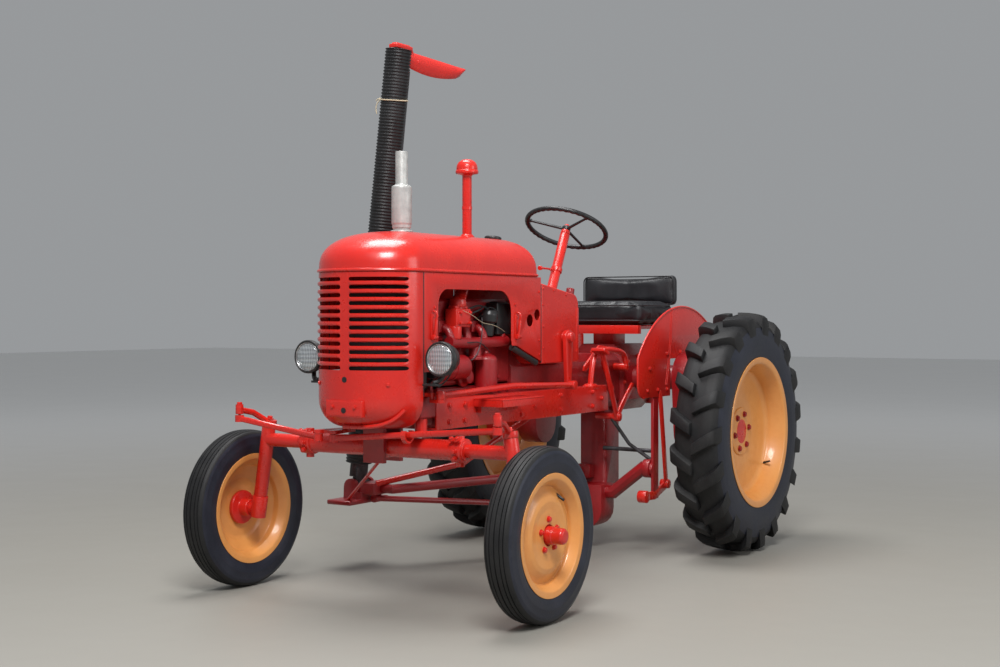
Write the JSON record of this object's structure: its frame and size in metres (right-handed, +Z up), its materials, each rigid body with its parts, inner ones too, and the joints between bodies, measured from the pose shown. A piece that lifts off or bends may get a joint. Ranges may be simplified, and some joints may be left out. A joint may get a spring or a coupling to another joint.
{
  "type": "vintage tractor with finger-bar mower",
  "caption": "Small vintage row-crop tractor with adjustable wide front axle, bonnet with slotted grille, bench seat and a folded mid-mounted finger-bar mower.",
  "frame": {"origin": "on the floor, at the middle of the bounding box", "axes": "+Z up, -Y forwards, +X to the tractor's left"},
  "size_m": [1.5, 2.5804, 2.1221],
  "materials": {
    "red_paint": "gloss enamel",
    "yellow_paint": "satin enamel",
    "tyre": "matt",
    "black_paint": "satin",
    "steering_wheel_plastic": "worn gloss",
    "black_vinyl": "grained vinyl",
    "silver_paint": "heat-proof aluminium paint",
    "radiator_core": "matt",
    "dark_steel": "oiled",
    "hose_rubber": "satin"
  },
  "bodies": {
    "chassis": {"frame_rail_left": "red_paint", "frame_rail_right": "red_paint", "front_bolster": "red_paint", "engine_block": "red_paint", "gearbox": "red_paint", "rear_axle_housing": "red_paint", "final_drive_left": "red_paint", "final_drive_right": "red_paint", "drawbar": "red_paint", "grille_shell": "red_paint", "hood_top": "red_paint", "side_panel_left": "red_paint", "side_panel_right": "red_paint", "cowl": "red_paint", "seat_frame": "red_paint", "fender_left": "red_paint", "fender_right": "red_paint", "air_intake": "red_paint", "front_axle": "red_paint", "axle_arm_left": "red_paint", "axle_arm_right": "red_paint", "side_step": "red_paint", "steering_column": "red_paint", "mower_drive_case": "red_paint", "mower_hanger": "red_paint", "inner_shoe": "red_paint", "drag_bar": "red_paint", "knife_pitman": "red_paint", "headlamp_left": "black_paint", "headlamp_right": "black_paint", "seat_cushion": "black_vinyl", "seat_back": "black_vinyl", "muffler": "silver_paint", "radiator": "radiator_core"},
    "steering_wheel": {"steering_wheel": "steering_wheel_plastic"},
    "pitman_arm": {"pitman_arm": "red_paint"},
    "drag_link": {"drag_link": "red_paint"},
    "steering_crank": {"steering_crank": "red_paint"},
    "idler_arm": {"idler_arm": "red_paint"},
    "tie_rod_left": {"tie_rod_left": "red_paint"},
    "tie_rod_right": {"tie_rod_right": "red_paint"},
    "knuckle_left": {"spindle_left": "red_paint", "steering_arm_left": "red_paint"},
    "knuckle_right": {"spindle_right": "red_paint", "steering_arm_right": "red_paint"},
    "front_wheel_left": {"front_tyre_left": "tyre", "front_wheel_left": "yellow_paint", "front_hub_left": "red_paint"},
    "front_wheel_right": {"front_tyre_right": "tyre", "front_wheel_right": "yellow_paint", "front_hub_right": "red_paint"},
    "rear_wheel_left": {"rear_tyre_left": "tyre", "rear_wheel_left": "yellow_paint", "rear_hub_left": "red_paint"},
    "rear_wheel_right": {"rear_tyre_right": "tyre", "rear_wheel_right": "yellow_paint", "rear_hub_right": "red_paint"},
    "mower_bar": {"cutter_bar": "dark_steel", "bar_hose": "hose_rubber", "swath_board": "red_paint"}
  },
  "joints": [
    {"name": "steering", "type": "hinge", "parent": "chassis", "child": "knuckle_left", "pos_m": [0.585, -0.99375, 0.2965], "axis": [-0.1564, 0, 0.9877], "range_deg": [-30, 30]},
    {"name": "knuckle_right_turn", "type": "hinge", "parent": "chassis", "child": "knuckle_right", "pos_m": [-0.585, -0.99375, 0.2965], "axis": [0.1564, 0, 0.9877], "range_deg": [-30.5, 30.5]},
    {"name": "idler_turn", "type": "hinge", "parent": "chassis", "child": "idler_arm", "pos_m": [-0.155, -0.99375, 0.62], "axis": [0, 0, 1], "range_deg": [-30.5, 30.5]},
    {"name": "crank_turn", "type": "hinge", "parent": "chassis", "child": "steering_crank", "pos_m": [0.165, -0.99375, 0.7], "axis": [0, 0, 1], "range_deg": [-30.5, 30.5]},
    {"name": "tie_rod_left_turn", "type": "hinge", "parent": "knuckle_left", "child": "tie_rod_left", "pos_m": [0.565, -1.12375, 0.646], "axis": [-0.1564, 0.0283, 0.9873], "range_deg": [-30.5, 30.5]},
    {"name": "tie_rod_right_turn", "type": "hinge", "parent": "knuckle_right", "child": "tie_rod_right", "pos_m": [-0.565, -1.12375, 0.646], "axis": [0.1562, 0.0517, 0.9864], "range_deg": [-30.5, 30.5]},
    {"name": "pitman_turn", "type": "hinge", "parent": "chassis", "child": "pitman_arm", "pos_m": [0.2266, -0.05075, 0.94], "axis": [1, 0, 0], "range_deg": [-13, 13]},
    {"name": "drag_link_turn", "type": "hinge", "parent": "pitman_arm", "child": "drag_link", "pos_m": [0.25, -0.05075, 0.747], "axis": [1, 0, 0], "range_deg": [-13, 13]},
    {"name": "steering_wheel_turn", "type": "hinge", "parent": "chassis", "child": "steering_wheel", "pos_m": [0.1, 0.1485, 1.3684], "axis": [0, 0.4363, 0.8998], "range_deg": [-361, 361]},
    {"name": "front_wheel_left_spin", "type": "hinge", "parent": "knuckle_left", "child": "front_wheel_left", "pos_m": [0.654, -0.99375, 0.2965], "axis": [1, 0, 0], "continuous": true},
    {"name": "front_wheel_right_spin", "type": "hinge", "parent": "knuckle_right", "child": "front_wheel_right", "pos_m": [-0.654, -0.99375, 0.2965], "axis": [1, 0, 0], "continuous": true},
    {"name": "rear_wheel_left_spin", "type": "hinge", "parent": "chassis", "child": "rear_wheel_left", "pos_m": [0.6245, 0.76925, 0.521], "axis": [1, 0, 0], "continuous": true},
    {"name": "rear_wheel_right_spin", "type": "hinge", "parent": "chassis", "child": "rear_wheel_right", "pos_m": [-0.6245, 0.76925, 0.521], "axis": [1, 0, 0], "continuous": true},
    {"name": "mower_bar_fold", "type": "hinge", "parent": "chassis", "child": "mower_bar", "pos_m": [-0.54, -0.43075, 0.33], "axis": [0, -1, 0], "range_deg": [0, 96.9]}
  ],
  "couplings": [
    {"joint": "knuckle_right_turn", "follows": "steering", "ratio": 1},
    {"joint": "idler_turn", "follows": "steering", "ratio": 1},
    {"joint": "crank_turn", "follows": "steering", "ratio": 1},
    {"joint": "tie_rod_left_turn", "follows": "steering", "ratio": -1},
    {"joint": "tie_rod_right_turn", "follows": "steering", "ratio": -1},
    {"joint": "pitman_turn", "follows": "steering", "ratio": 0.424},
    {"joint": "drag_link_turn", "follows": "steering", "ratio": -0.424},
    {"joint": "steering_wheel_turn", "follows": "steering", "ratio": 12}
  ]
}
